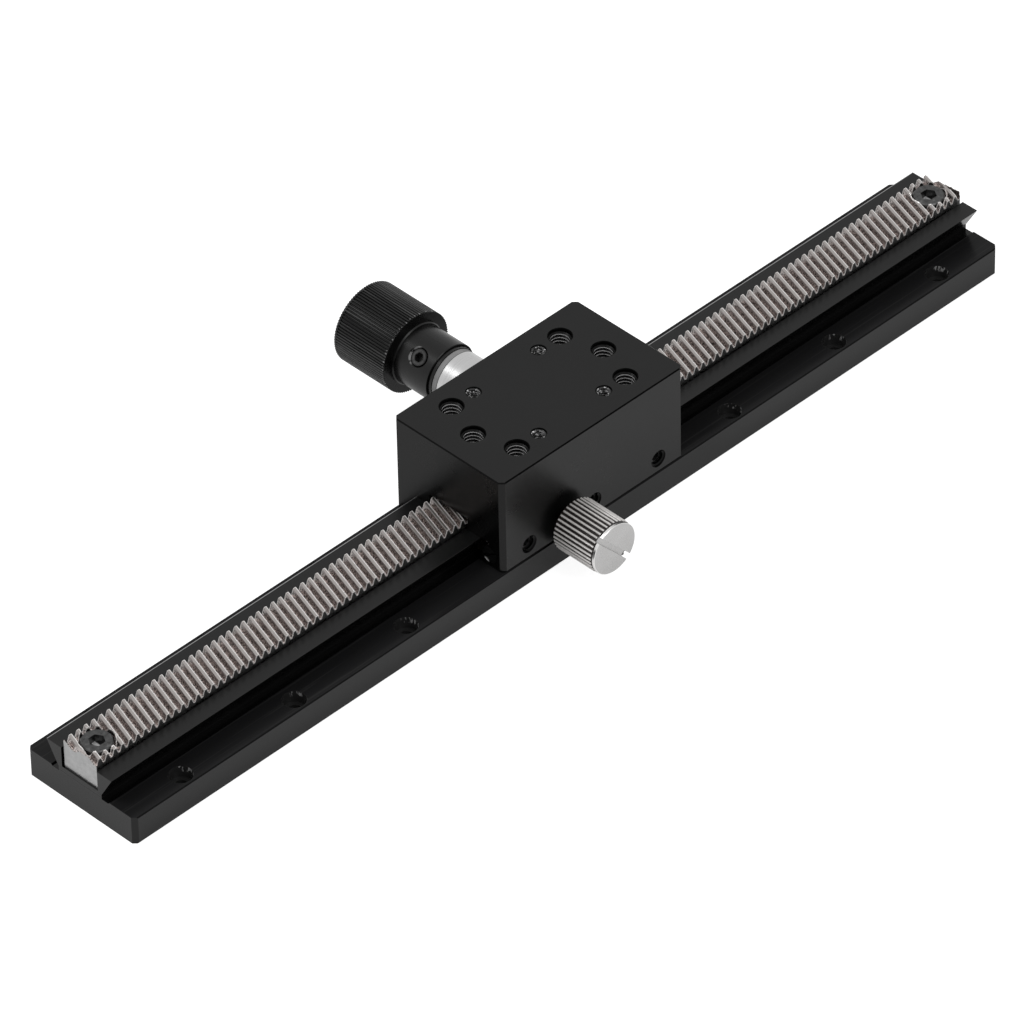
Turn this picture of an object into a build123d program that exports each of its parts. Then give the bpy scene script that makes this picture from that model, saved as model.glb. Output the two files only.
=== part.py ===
from build123d import *
import os
from math import acos, atan, cos, degrees, pi, radians, sin, tan

# Rack and pinion dovetail slide: a long rail with a helical rack, and a short carriage driven
# along it by a hand knob. Millimetres. X runs along the rail, Y across it towards the knob,
# Z up. The origin is the middle of the rail's underside.

# Rail
rail_length = 200.0
rail_width = 25.0
flange_thickness = 5.5
tongue_height = 5.0
tongue_top_width = 15.0
flank_angle = 60.0
root_wall_height = 0.6
corner_chamfer = 0.8
edge_break = 0.2
tongue_edge_break = 0.05
root_groove_width = 1.8
root_groove_depth = 0.3

# Rail's own mounting holes, for M2 screws with sunk heads
rail_hole_pitch = 25.0
rail_hole_count = 8
rail_hole_row_spacing = 20.0
rail_hole_diameter = 2.4
rail_counterbore_diameter = 4.1
rail_counterbore_depth = 2.2

# Helical rack and its channel
normal_module = 0.5
pressure_angle = 20.0
helix_angle = 17.2
rack_width = 7.6
rack_pitch_height = 5.3
rack_end_setback = 0.3
crest_offset = -0.71
dedendum_factor = 1.25
channel_depth = 4.0
channel_side_clearance = 0.35
rack_end_chamfer = 0.35
rack_end_break = 0.1

# Rack screws, M3 socket cap
cap_thread_diameter = 3.0
cap_head_diameter = 5.5
cap_head_height = 3.0
cap_key_width = 2.5
cap_key_depth = 1.5
cap_length = 6.0
cap_sink = 0.2
cap_counterbore_clearance = 0.35
cap_shank_clearance = 0.2
rack_screw_inset = 4.0
tapped_hole_runout = 0.8

# Carriage
carriage_length = 42.0
carriage_width = 25.0
carriage_top = 24.5
carriage_x = 3.2
flange_gap = 0.4
slide_clearance = 0.05
nose_height = 0.5
rack_slot_side_clearance = 0.6
rack_slot_top_clearance = 0.5
thread_clearance = 0.05
thread_lead_in = 0.15
countersink_angle = 90.0

# Tapped holes in the carriage's top face
m4_diameter = 4.0
m4_depth = 8.0
m4_grid_x = 25.0
m4_grid_y = 15.0
m4_line_x = 30.0
m25_diameter = 2.5
m25_depth = 6.0
m25_grid = 15.0

# Gib and the screws that set it
gib_thickness = 1.5
gib_play = 0.2
gib_end_gap = 0.1
gib_floor_gap = 0.2
gib_screw_height = 8.4
m3_diameter = 3.0
m3_key_width = 1.5
m3_key_depth = 1.2
gib_screw_length = 4.0
dog_diameter = 1.4
dog_length = 1.6
dimple_depth = 0.45
dimple_clearance = 0.1

# Sunk cheese head screws that keep the gib from sliding out endways, M1.6
end_screw_diameter = 1.6
end_screw_length = 2.4
end_screw_height = 7.9
end_screw_wall = 0.25
end_head_diameter = 3.2
end_head_height = 1.1
end_head_sink = 0.1
end_head_clearance = 0.1
end_slot_width = 0.5
end_slot_depth = 0.5
end_slot_angle = 30.0
end_screw_gap = 0.05
gib_screw_wall = 0.1

# Pinion and its bearing
pinion_teeth = 17
backlash = 0.06
flank_start_share = 0.2
pinion_face_width = 8.0
pinion_sections = 5
bore_clearance = 0.01
bore_end_gap = 0.8
shaft_diameter = 5.0
shaft_running_clearance = 0.02
sleeve_diameter = 10.0
sleeve_relief_clearance = 0.3
sleeve_edge_break = 0.1
sleeve_outer_y = 19.0
bush_wall = 1.0
bush_length = 4.5
inner_washer_thickness = 0.5
inner_washer_diameter = 9.6
outer_washer_thickness = 0.9
outer_washer_diameter = 10.0
washer_gap = 0.05
lock_screw_y = 10.0
lock_screw_length = 4.0

# Drive knob
hub_length = 8.8
hub_diameter = 11.0
hub_nose_diameter = 10.3
hub_nose_length = 0.7
hub_edge_break = 0.1
collar_diameter = 11.6
collar_length = 0.6
knob_length = 11.6
knob_diameter = 15.0
knob_ridges = 90
knob_ridge_depth = 0.22
knob_crest_share = 0.3
knob_valley_share = 0.2
shaft_end_gap = 0.3
knob_bore_depth = 17.0
knob_screw_y = 24.2
knob_screw_angle = 134.5
knob_screw_length = 3.0
knob_screw_sink = 0.5
shaft_flat_depth = 0.3
shaft_flat_length = 5.0

# Clamp screw and its pad
clamp_offset_x = -6.2
clamp_head_diameter = 9.7
clamp_head_length = 9.6
clamp_head_gap = 1.2
clamp_ridges = 36
clamp_ridge_depth = 0.45
clamp_crest_share = 0.42
clamp_valley_share = 0.26
clamp_base_bevel = 0.4
clamp_crest_bevel = 0.2
clamp_groove_diameter = 8.6
clamp_groove_length = 0.3
clamp_rim_diameter = 9.4
clamp_rim_length = 0.55
clamp_rim_bevel = 0.1
clamp_slot_width = 1.2
clamp_slot_depth = 1.2
clamp_slot_angle = -48.0
clamp_pad_length = 2.04
clamp_pad_gap = 0.2
pad_side_clearance = 0.06

# Levels and widths that follow
tongue_top = flange_thickness + tongue_height
flank_run = 1 / tan(radians(flank_angle))
flank_side = 1 / sin(radians(flank_angle))
root_half_width = tongue_top_width / 2 - (tongue_height - root_wall_height) * flank_run
channel_floor = tongue_top - channel_depth
channel_width = rack_width + 2 * channel_side_clearance

# Tooth sizes in the plane square to the pinion's axis
helix = radians(helix_angle)
pitch = pi * normal_module / cos(helix)
face_pressure_angle = atan(tan(radians(pressure_angle)) / cos(helix))
pitch_line = channel_floor + rack_pitch_height
rack_top = pitch_line + normal_module
pitch_radius = pinion_teeth * pitch / (2 * pi)
base_radius = pitch_radius * cos(face_pressure_angle)
tip_radius = pitch_radius + normal_module
root_radius = pitch_radius - dedendum_factor * normal_module

# Places on the carriage
axle_z = pitch_line + pitch_radius
axle = Axis((carriage_x, 0, axle_z), (0, 1, 0))
carriage_bottom = flange_thickness + flange_gap
carriage_end = carriage_length / 2
side_y = carriage_width / 2
roof = tongue_top + slide_clearance
slot_top = rack_top + rack_slot_top_clearance
slot_half_width = rack_width / 2 + rack_slot_side_clearance
bore_radius = sleeve_diameter / 2 + bore_clearance
bore_end_y = -(pinion_face_width / 2 + bore_end_gap)
end_counterbore_depth = end_head_height + end_head_sink + end_screw_gap
end_hole_depth = end_counterbore_depth + end_screw_length + tapped_hole_runout
gib_screw_pitch = carriage_end - end_hole_depth - gib_screw_wall - m3_diameter / 2
gib_screw_x = [carriage_x - gib_screw_pitch, carriage_x, carriage_x + gib_screw_pitch]
clamp_x = carriage_x + clamp_offset_x
m3_shank_radius = m3_diameter / 2 - thread_clearance


def flank_y(z, gap):
    """Distance from the middle plane to a flank that lies a gap outside the tongue's flank."""
    return tongue_top_width / 2 - (tongue_top - z) * flank_run + gap * flank_side


gib_face_gap = slide_clearance + gib_thickness
leg_face_gap = gib_face_gap + gib_play
gib_outer_y = -flank_y(gib_screw_height, gib_face_gap)
end_screw_y = -flank_y(end_screw_height, leg_face_gap + end_screw_wall + end_screw_diameter / 2)

# Places along the pinion's axle
inner_washer_y = pinion_face_width / 2 + washer_gap
sleeve_inner_y = inner_washer_y + inner_washer_thickness + washer_gap
outer_washer_y = sleeve_outer_y + washer_gap
hub_y = outer_washer_y + outer_washer_thickness + washer_gap
knurl_y = hub_y + hub_length
knob_end_y = knurl_y + knob_length
shaft_end_y = hub_y + knob_bore_depth - shaft_end_gap


def turned(outline, lengthwise, radial=(0, 0, 1), origin=(0, 0, 0)):
    """A solid of revolution from (distance along the axis, radius) corners."""
    with BuildPart() as turning:
        with BuildSketch(Plane(origin, x_dir=lengthwise, z_dir=Vector(lengthwise).cross(Vector(radial)))):
            with BuildLine():
                Polyline(outline, close=True)
            make_face()
        revolve(axis=Axis(origin, lengthwise))
    return turning.part


def cap_screw(x, seat_z):
    """Socket cap screw standing upright, with its head's underside at seat_z."""
    shank = cap_thread_diameter / 2 - thread_clearance
    rim = cap_head_diameter / 2
    with BuildPart() as screw:
        add(turned([(-cap_length, 0), (-cap_length, shank - edge_break), (edge_break - cap_length, shank),
                    (0, shank), (0, rim), (cap_head_height - edge_break, rim),
                    (cap_head_height, rim - edge_break), (cap_head_height, 0)],
                   (0, 0, 1), (1, 0, 0), (x, 0, seat_z)))
        with BuildSketch(Plane((x, 0, seat_z + cap_head_height))):
            RegularPolygon(cap_key_width / 2, 6, major_radius=False)
        extrude(amount=-cap_key_depth, mode=Mode.SUBTRACT)
    return screw.part


def set_screw(tip, direction, across, length, point_radius, point_length):
    """Headless M3 screw that points along direction, with its socket at the back."""
    body = m3_shank_radius
    back = Vector(tip) - Vector(direction) * length
    with BuildPart() as screw:
        add(turned([(0, 0), (0, body), (length - point_length, body),
                    (length - point_length, point_radius), (length, point_radius), (length, 0)],
                   direction, across, back))
        with BuildSketch(Plane(back, x_dir=across, z_dir=direction)):
            RegularPolygon(m3_key_width / 2, 6, major_radius=False)
        extrude(amount=m3_key_depth, mode=Mode.SUBTRACT)
    return screw.part


def ridged_outline(radius, ridges, depth, crest_share, valley_share):
    """Corners of a straight knurl: each ridge has a flat crest, and a flat valley beside it."""
    corners = []
    for i in range(ridges):
        for middle, r, share in ((i, radius, crest_share), (i + 0.5, radius - depth, valley_share)):
            for side in (-0.5, 0.5):
                angle = 2 * pi * (middle + side * share) / ridges
                corners.append((r * cos(angle), r * sin(angle)))
    return corners


# Rail: a flat flange with a dovetail tongue, and the rack's channel along its top
with BuildPart() as rail:
    with BuildSketch(Plane.YZ.offset(-rail_length / 2)):
        with BuildLine():
            edge = rail_width / 2
            groove_y = root_half_width + root_groove_width
            groove_z = flange_thickness - root_groove_depth
            Polyline((0, 0), (edge, 0), (edge, flange_thickness), (groove_y, flange_thickness),
                     (groove_y - root_groove_depth, groove_z), (root_half_width, groove_z),
                     (root_half_width, flange_thickness + root_wall_height),
                     (tongue_top_width / 2, tongue_top), (channel_width / 2, tongue_top),
                     (channel_width / 2, channel_floor), (0, channel_floor))
            mirror(about=Plane.YZ)
        make_face()
    extrude(amount=rail_length)
    corners = rail.edges().filter_by(Axis.Z).filter_by(lambda e: abs(e.center().Y) > edge - edge_break)
    chamfer(corners, corner_chamfer)
    long_edges = rail.edges().filter_by(Axis.X)
    flange_edges = long_edges.filter_by(lambda e: abs(e.center().Y) > edge - edge_break)
    chamfer(flange_edges, edge_break)
    tongue_edges = rail.edges().filter_by(Axis.X).group_by(Axis.Z)[-1]
    outer_tongue_edges = tongue_edges.filter_by(lambda e: abs(e.center().Y) > channel_width / 2 + edge_break)
    chamfer(outer_tongue_edges, tongue_edge_break)
    with Locations(Plane.XY.offset(flange_thickness)):
        with GridLocations(rail_hole_pitch, rail_hole_row_spacing, rail_hole_count, 2):
            CounterBoreHole(rail_hole_diameter / 2, rail_counterbore_diameter / 2, rail_counterbore_depth)
    screw_seat = rack_top - cap_sink - cap_head_height
    tapped_depth = channel_floor - (screw_seat - cap_length) + tapped_hole_runout
    with Locations(Plane.XY.offset(channel_floor)):
        with GridLocations(rail_length - 2 * rack_screw_inset, 0, 2, 1):
            Hole(cap_thread_diameter / 2, tapped_depth)
rail.part.label = "rail"

# Rack: slanting teeth, cut square at both ends and bored for its two screws
rack_length = rail_length - 2 * rack_end_setback
tooth_root = pitch_line - dedendum_factor * normal_module
tip_half = pitch / 4 - normal_module * tan(face_pressure_angle)
root_half = pitch / 4 + dedendum_factor * normal_module * tan(face_pressure_angle)
slant = rack_width / 2 * tan(helix)
first_tooth = -int((rack_length / 2 + slant) / pitch) - 2
row = []
for i in range(first_tooth, 2 - first_tooth):
    crest = crest_offset + i * pitch
    row += [(crest - root_half, tooth_root), (crest - tip_half, rack_top),
            (crest + tip_half, rack_top), (crest + root_half, tooth_root)]
with BuildPart() as rack:
    with BuildSketch(Plane.XZ):
        with BuildLine():
            Polyline((row[0][0], channel_floor), *row, (row[-1][0], channel_floor), close=True)
        make_face()
    extrude(amount=rack_width / 2 / cos(helix), dir=(sin(helix), cos(helix), 0), both=True)
    with BuildSketch(Plane.XY.offset(channel_floor)):
        Rectangle(rack_length, rack_width)
    extrude(amount=rack_top - channel_floor, mode=Mode.INTERSECT)
    for end, cut in ((-1, rack_end_chamfer), (1, rack_end_break)):
        with BuildSketch(Plane((end * rack_length / 2, 0, rack_top), x_dir=(end, 0, 0), z_dir=(0, -end, 0))):
            with BuildLine():
                Polyline((-cut, 0), (0, -cut), (0, 0), close=True)
            make_face()
        extrude(amount=rack_width / 2, both=True, mode=Mode.SUBTRACT)
    with Locations(Plane.XY.offset(rack_top)):
        with GridLocations(rail_length - 2 * rack_screw_inset, 0, 2, 1):
            CounterBoreHole(cap_thread_diameter / 2 + cap_shank_clearance,
                            cap_head_diameter / 2 + cap_counterbore_clearance, rack_top - screw_seat)
rack.part.label = "rack"

# Carriage: a block that straddles the tongue, bored from the knob's side for the pinion
with BuildPart() as carriage:
    with BuildSketch(Plane.YZ.offset(carriage_x - carriage_end)):
        with BuildLine():
            nose_z = carriage_bottom + nose_height
            Polyline((side_y, carriage_bottom), (side_y, carriage_top), (-side_y, carriage_top),
                     (-side_y, carriage_bottom), (-flank_y(carriage_bottom, leg_face_gap), carriage_bottom),
                     (-flank_y(roof, leg_face_gap), roof), (-slot_half_width, roof),
                     (-slot_half_width, slot_top), (slot_half_width, slot_top), (slot_half_width, roof),
                     (flank_y(roof, slide_clearance), roof), (flank_y(nose_z, slide_clearance), nose_z),
                     (flank_y(nose_z, slide_clearance), carriage_bottom), close=True)
        make_face()
    extrude(amount=carriage_length)
    upright = carriage.edges().filter_by(Axis.Z)
    chamfer(upright.filter_by(lambda e: abs(e.center().Y) > side_y - edge_break), corner_chamfer)
    chamfer(carriage.faces().sort_by(Axis.Z)[-1].outer_wire().edges(), edge_break)
    with Locations(Plane((carriage_x, 0, carriage_top))):
        with GridLocations(m4_grid_x, m4_grid_y, 2, 2):
            CounterSinkHole(m4_diameter / 2, m4_diameter / 2 + thread_lead_in, m4_depth, countersink_angle)
        with GridLocations(m4_line_x, 0, 2, 1):
            CounterSinkHole(m4_diameter / 2, m4_diameter / 2 + thread_lead_in, m4_depth, countersink_angle)
        with GridLocations(m25_grid, m25_grid, 2, 2):
            CounterSinkHole(m25_diameter / 2, m25_diameter / 2 + thread_lead_in, m25_depth, countersink_angle)
    with BuildSketch(Plane((carriage_x, side_y, axle_z), x_dir=(-1, 0, 0), z_dir=(0, 1, 0))):
        Circle(bore_radius)
    extrude(amount=bore_end_y - side_y, mode=Mode.SUBTRACT)
    leg_depth = side_y - flank_y(roof, gib_face_gap) + tongue_height * flank_run
    with Locations(Plane((0, -side_y, gib_screw_height), x_dir=(1, 0, 0), z_dir=(0, -1, 0))):
        with Locations(*[(x, 0) for x in gib_screw_x + [clamp_x]]):
            CounterSinkHole(m3_diameter / 2, m3_diameter / 2 + thread_lead_in, leg_depth, countersink_angle)
    with Locations(Plane((carriage_x, lock_screw_y, carriage_bottom), z_dir=(0, 0, -1))):
        Hole(m3_diameter / 2, axle_z - bore_radius - carriage_bottom + bore_clearance + tapped_hole_runout)
    for end in (-1, 1):
        end_face = Plane((carriage_x + end * carriage_end, end_screw_y, end_screw_height), z_dir=(end, 0, 0))
        with Locations(end_face):
            CounterBoreHole(end_screw_diameter / 2, end_head_diameter / 2 + end_head_clearance,
                            end_counterbore_depth, end_hole_depth)
carriage.part.label = "carriage"

# Gib: a thin strip between the near leg and the tongue, dimpled for its screws
with BuildPart() as gib:
    gib_length = carriage_length - 2 * (end_counterbore_depth + gib_end_gap)
    gib_bottom = carriage_bottom + gib_floor_gap
    gib_top = roof - slide_clearance
    with BuildSketch(Plane.YZ.offset(carriage_x - gib_length / 2)):
        with BuildLine():
            Polyline((-flank_y(gib_bottom, slide_clearance), gib_bottom),
                     (-flank_y(gib_top, slide_clearance), gib_top),
                     (-flank_y(gib_top, gib_face_gap), gib_top),
                     (-flank_y(gib_bottom, gib_face_gap), gib_bottom), close=True)
        make_face()
    extrude(amount=gib_length)
    dimple_radius = dog_diameter / 2 + dimple_clearance
    dimple_mouth = dimple_radius * flank_run + dimple_depth
    for x in gib_screw_x:
        with BuildSketch(Plane((x, gib_outer_y + dimple_depth, gib_screw_height), z_dir=(0, -1, 0))):
            Circle(dimple_radius)
        extrude(amount=2 * dimple_mouth, mode=Mode.SUBTRACT)
gib.part.label = "gib"

# Bearing sleeve: plain outside, bored for a bush at each end and relieved between them
sleeve_radius = sleeve_diameter / 2
bush_radius = shaft_diameter / 2 + bush_wall
sleeve_relief = shaft_diameter / 2 + sleeve_relief_clearance
bearing_sleeve = turned([(sleeve_inner_y, bush_radius), (sleeve_inner_y, sleeve_radius),
                         (sleeve_outer_y - sleeve_edge_break, sleeve_radius),
                         (sleeve_outer_y, sleeve_radius - sleeve_edge_break), (sleeve_outer_y, bush_radius),
                         (sleeve_outer_y - bush_length, bush_radius),
                         (sleeve_outer_y - bush_length, sleeve_relief),
                         (sleeve_inner_y + bush_length, sleeve_relief),
                         (sleeve_inner_y + bush_length, bush_radius)],
                        (0, 1, 0), origin=axle.position)
bearing_sleeve.label = "bearing_sleeve"


def ring(inner, outer, start, length, label):
    """A plain ring round the pinion's axle."""
    with BuildPart() as piece:
        with BuildSketch(Plane((carriage_x, start, axle_z), x_dir=(-1, 0, 0), z_dir=(0, 1, 0))):
            Circle(outer)
            Circle(inner, mode=Mode.SUBTRACT)
        extrude(amount=length)
    piece.part.label = label
    return piece.part


bush_bore = shaft_diameter / 2 + shaft_running_clearance
washer_bore = bush_bore + washer_gap
inner_bush = ring(bush_bore, bush_radius, sleeve_inner_y, bush_length, "inner_bush")
outer_bush = ring(bush_bore, bush_radius, sleeve_outer_y - bush_length, bush_length, "outer_bush")
inner_washer = ring(washer_bore, inner_washer_diameter / 2, inner_washer_y, inner_washer_thickness,
                    "inner_thrust_washer")
outer_washer = ring(washer_bore, outer_washer_diameter / 2, outer_washer_y, outer_washer_thickness,
                    "outer_thrust_washer")


def pinion_outline(y):
    """Corners of the pinion's section at y, with a tooth space centred on the rack's nearest crest."""
    nearest = crest_offset + round((carriage_x - crest_offset) / pitch) * pitch
    space = -pi / 2 + (nearest - carriage_x + y * tan(helix)) / pitch_radius
    half_at_pitch = (pitch / 2 - backlash) / (2 * pitch_radius)
    rolled = tan(face_pressure_angle) - face_pressure_angle
    flank_start = base_radius + flank_start_share * (tip_radius - base_radius)
    flank = [(root_radius, half_at_pitch + rolled)]
    for r in (flank_start, tip_radius):
        slope = acos(base_radius / r)
        flank.append((r, half_at_pitch + rolled - tan(slope) + slope))
    corners = []
    for i in range(pinion_teeth):
        middle = space + (i + 0.5) * 2 * pi / pinion_teeth
        corners += [(r * cos(middle - half), r * sin(middle - half)) for r, half in flank]
        corners += [(r * cos(middle + half), r * sin(middle + half)) for r, half in reversed(flank)]
    return corners


# Pinion shaft: helical teeth on its inner end, and a flat for the knob's set screw
knob_screw_direction = Vector(cos(radians(knob_screw_angle)), 0, sin(radians(knob_screw_angle)))
flat_radius = shaft_diameter / 2 - shaft_flat_depth
with BuildPart() as pinion_shaft:
    for i in range(pinion_sections):
        section_y = pinion_face_width * (i / (pinion_sections - 1) - 0.5)
        with BuildSketch(Plane((carriage_x, section_y, axle_z), x_dir=(1, 0, 0), z_dir=(0, -1, 0))):
            with BuildLine():
                Polyline(pinion_outline(section_y), close=True)
            make_face()
    loft(ruled=True)
    with BuildSketch(Plane((carriage_x, pinion_face_width / 2, axle_z), x_dir=(-1, 0, 0), z_dir=(0, 1, 0))):
        Circle(shaft_diameter / 2)
    extrude(amount=shaft_end_y - pinion_face_width / 2)
    chamfer(pinion_shaft.edges().filter_by(GeomType.CIRCLE).sort_by(Axis.Y)[-1], edge_break)
    flat_middle = Vector(carriage_x, knob_screw_y, axle_z) + knob_screw_direction * flat_radius
    with BuildSketch(Plane(flat_middle, x_dir=(0, 1, 0), z_dir=knob_screw_direction)):
        Rectangle(shaft_flat_length, shaft_diameter)
    extrude(amount=shaft_diameter, mode=Mode.SUBTRACT)
pinion_shaft.part.label = "pinion_shaft"

# Drive knob: a smooth hub for the set screw, and a finely ridged grip
grip_radius = knob_diameter / 2
knob_bore = shaft_diameter / 2 + bore_clearance
with BuildPart() as knob:
    with BuildSketch(Plane((carriage_x, knurl_y, axle_z), x_dir=(-1, 0, 0), z_dir=(0, 1, 0))):
        with BuildLine():
            Polyline(ridged_outline(grip_radius, knob_ridges, knob_ridge_depth, knob_crest_share,
                                    knob_valley_share), close=True)
        make_face()
    extrude(amount=knob_length)
    collar_y = knurl_y - collar_length
    shoulder_y = hub_y + hub_nose_length
    add(turned([(hub_y, 0), (hub_y, hub_nose_diameter / 2), (shoulder_y, hub_nose_diameter / 2),
                (shoulder_y, hub_diameter / 2 - hub_edge_break),
                (shoulder_y + hub_edge_break, hub_diameter / 2),
                (collar_y, hub_diameter / 2), (collar_y, collar_diameter / 2 - edge_break),
                (collar_y + edge_break, collar_diameter / 2), (knurl_y, collar_diameter / 2), (knurl_y, 0)],
               (0, 1, 0), origin=axle.position))
    with BuildSketch(Plane((carriage_x, hub_y, axle_z), x_dir=(-1, 0, 0), z_dir=(0, 1, 0))):
        Circle(knob_bore)
    extrude(amount=knob_bore_depth, mode=Mode.SUBTRACT)
    with BuildSketch(Plane((carriage_x, knob_screw_y, axle_z), x_dir=(0, 1, 0), z_dir=knob_screw_direction)):
        Circle(m3_diameter / 2)
    extrude(amount=hub_diameter, mode=Mode.SUBTRACT)
    sink_start = hub_diameter / 2 - knob_screw_sink
    sink_end = hub_diameter / 2 + knob_screw_sink
    sink_radius = m3_diameter / 2 + sink_end - sink_start
    add(turned([(sink_start, 0), (sink_start, m3_diameter / 2), (sink_end, sink_radius), (sink_end, 0)],
               knob_screw_direction, (0, 1, 0), (carriage_x, knob_screw_y, axle_z)), mode=Mode.SUBTRACT)
knob.part.label = "knob"

knob_set_screw = set_screw(Vector(carriage_x, knob_screw_y, axle_z) + knob_screw_direction * flat_radius,
                           knob_screw_direction * -1, (0, 1, 0), knob_screw_length,
                           m3_shank_radius - edge_break, edge_break)
knob_set_screw.label = "knob_set_screw"

lock_screw_tip = (carriage_x, lock_screw_y, axle_z - sleeve_radius - bore_clearance)
sleeve_lock_screw = set_screw(lock_screw_tip, (0, 0, 1), (1, 0, 0), lock_screw_length,
                              m3_shank_radius - edge_break, edge_break)
sleeve_lock_screw.label = "sleeve_lock_screw"

# Clamp pad: a brass plug whose inner end slants with the gib
pad_radius = m3_diameter / 2 - pad_side_clearance
pad_tip_y = gib_outer_y - clamp_pad_gap
pad_back_y = pad_tip_y - clamp_pad_length
with BuildPart() as clamp_pad:
    with BuildSketch(Plane((clamp_x, pad_back_y, gib_screw_height), x_dir=(-1, 0, 0), z_dir=(0, 1, 0))):
        Circle(pad_radius)
    extrude(amount=clamp_pad_length + m3_diameter)
    split(bisect_by=Plane((clamp_x, pad_tip_y, gib_screw_height), x_dir=(1, 0, 0),
                          z_dir=(0, sin(radians(flank_angle)), cos(radians(flank_angle)))), keep=Keep.BOTTOM)
clamp_pad.part.label = "clamp_pad"

# Clamp screw: a coarsely ridged head, then a groove, a rim and a slotted face
head_radius = clamp_head_diameter / 2
groove_radius = clamp_groove_diameter / 2
rim_radius = clamp_rim_diameter / 2
head_y = -side_y - clamp_head_gap
head_face_y = head_y - clamp_head_length
ridges_length = clamp_head_length - clamp_groove_length - clamp_rim_length
with BuildPart() as clamp_screw:
    with BuildSketch(Plane((clamp_x, head_y, gib_screw_height), x_dir=(1, 0, 0), z_dir=(0, -1, 0))):
        with BuildLine():
            Polyline(ridged_outline(head_radius, clamp_ridges, clamp_ridge_depth, clamp_crest_share,
                                    clamp_valley_share), close=True)
        make_face()
    extrude(amount=ridges_length)
    add(turned([(0, 0), (0, head_radius - clamp_base_bevel), (clamp_base_bevel, head_radius),
                (ridges_length - clamp_crest_bevel, head_radius),
                (ridges_length, head_radius - clamp_crest_bevel), (ridges_length, 0)],
               (0, -1, 0), origin=(clamp_x, head_y, gib_screw_height)), mode=Mode.INTERSECT)
    rim_start = clamp_head_length - clamp_rim_length
    add(turned([(ridges_length, 0), (ridges_length, groove_radius), (rim_start, groove_radius),
                (rim_start, rim_radius), (clamp_head_length - clamp_rim_bevel, rim_radius),
                (clamp_head_length, rim_radius - clamp_rim_bevel), (clamp_head_length, 0)],
               (0, -1, 0), origin=(clamp_x, head_y, gib_screw_height)))
    face = Plane((clamp_x, head_face_y, gib_screw_height), x_dir=(1, 0, 0), z_dir=(0, -1, 0))
    with BuildSketch(face):
        Rectangle(clamp_head_diameter, clamp_slot_width, rotation=clamp_slot_angle)
    extrude(amount=-clamp_slot_depth, mode=Mode.SUBTRACT)
    with BuildSketch(Plane((clamp_x, head_y, gib_screw_height), x_dir=(-1, 0, 0), z_dir=(0, 1, 0))):
        Circle(m3_shank_radius)
    extrude(amount=pad_back_y - head_y)
clamp_screw.part.label = "clamp_screw"


def end_screw(end):
    """Cheese head screw in one end of the near leg, whose head overlaps the gib's end."""
    seat_x = carriage_end - end_head_height - end_head_sink
    start = (carriage_x + end * seat_x, end_screw_y, end_screw_height)
    shank = end_screw_diameter / 2 - thread_clearance
    head = end_head_diameter / 2
    with BuildPart() as screw:
        add(turned([(-end_screw_length, 0), (-end_screw_length, shank), (0, shank), (0, head),
                    (end_head_height, head), (end_head_height, 0)], (end, 0, 0), origin=start))
        top = Plane(Vector(start) + Vector(end * end_head_height, 0, 0), x_dir=(0, 1, 0), z_dir=(end, 0, 0))
        with BuildSketch(top):
            Rectangle(end_head_diameter, end_slot_width, rotation=end_slot_angle)
        extrude(amount=-end_slot_depth, mode=Mode.SUBTRACT)
    return screw.part


pieces = [rail.part, rack.part, carriage.part, gib.part, bearing_sleeve, inner_bush, outer_bush,
          inner_washer, outer_washer, pinion_shaft.part, knob.part, knob_set_screw, sleeve_lock_screw,
          clamp_pad.part, clamp_screw.part]

for name, side in (("left", -1), ("right", 1)):
    rack_screw = cap_screw(side * (rail_length / 2 - rack_screw_inset), screw_seat)
    rack_screw.label = f"rack_screw_{name}"
    stop_screw = end_screw(side)
    stop_screw.label = f"gib_end_screw_{name}"
    pieces += [rack_screw, stop_screw]

for name, x in zip(("left", "middle", "right"), gib_screw_x):
    tip = (x, gib_outer_y + dimple_depth, gib_screw_height)
    gib_screw = set_screw(tip, (0, 1, 0), (0, 0, 1), gib_screw_length, dog_diameter / 2, dog_length)
    gib_screw.label = f"gib_set_screw_{name}"
    pieces.append(gib_screw)

os.makedirs("parts", exist_ok=True)
for piece in pieces:
    export_step(piece, f"parts/{piece.label}.step")
print("pitch", round(pitch, 5), "pitch radius", round(pitch_radius, 5), "axle height", round(axle_z, 4))
print("pinion turn per metre", round(1000 / pitch_radius, 4), "knob end", round(knob_end_y, 3))
print("gib screw tip", round(gib_outer_y + dimple_depth, 3), "pad tip", round(pad_tip_y, 3))
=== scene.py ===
import math
import random

import bmesh
import bpy
from mathutils import Matrix, Vector


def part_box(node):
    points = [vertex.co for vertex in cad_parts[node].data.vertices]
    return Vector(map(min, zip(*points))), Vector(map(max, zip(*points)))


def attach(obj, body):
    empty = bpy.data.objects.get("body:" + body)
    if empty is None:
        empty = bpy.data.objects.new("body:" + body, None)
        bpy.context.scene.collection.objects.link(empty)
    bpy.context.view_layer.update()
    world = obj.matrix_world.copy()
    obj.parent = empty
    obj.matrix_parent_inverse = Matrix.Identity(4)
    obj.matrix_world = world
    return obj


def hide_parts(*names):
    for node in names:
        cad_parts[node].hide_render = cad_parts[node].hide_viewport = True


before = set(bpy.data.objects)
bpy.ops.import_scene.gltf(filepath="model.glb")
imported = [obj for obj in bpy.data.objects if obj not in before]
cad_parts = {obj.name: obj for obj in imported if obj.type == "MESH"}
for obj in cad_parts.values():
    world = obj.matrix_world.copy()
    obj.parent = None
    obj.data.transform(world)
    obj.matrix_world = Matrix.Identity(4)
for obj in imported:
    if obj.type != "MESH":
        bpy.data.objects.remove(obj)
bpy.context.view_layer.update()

MM = 0.001
MICRON = 0.000001

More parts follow.
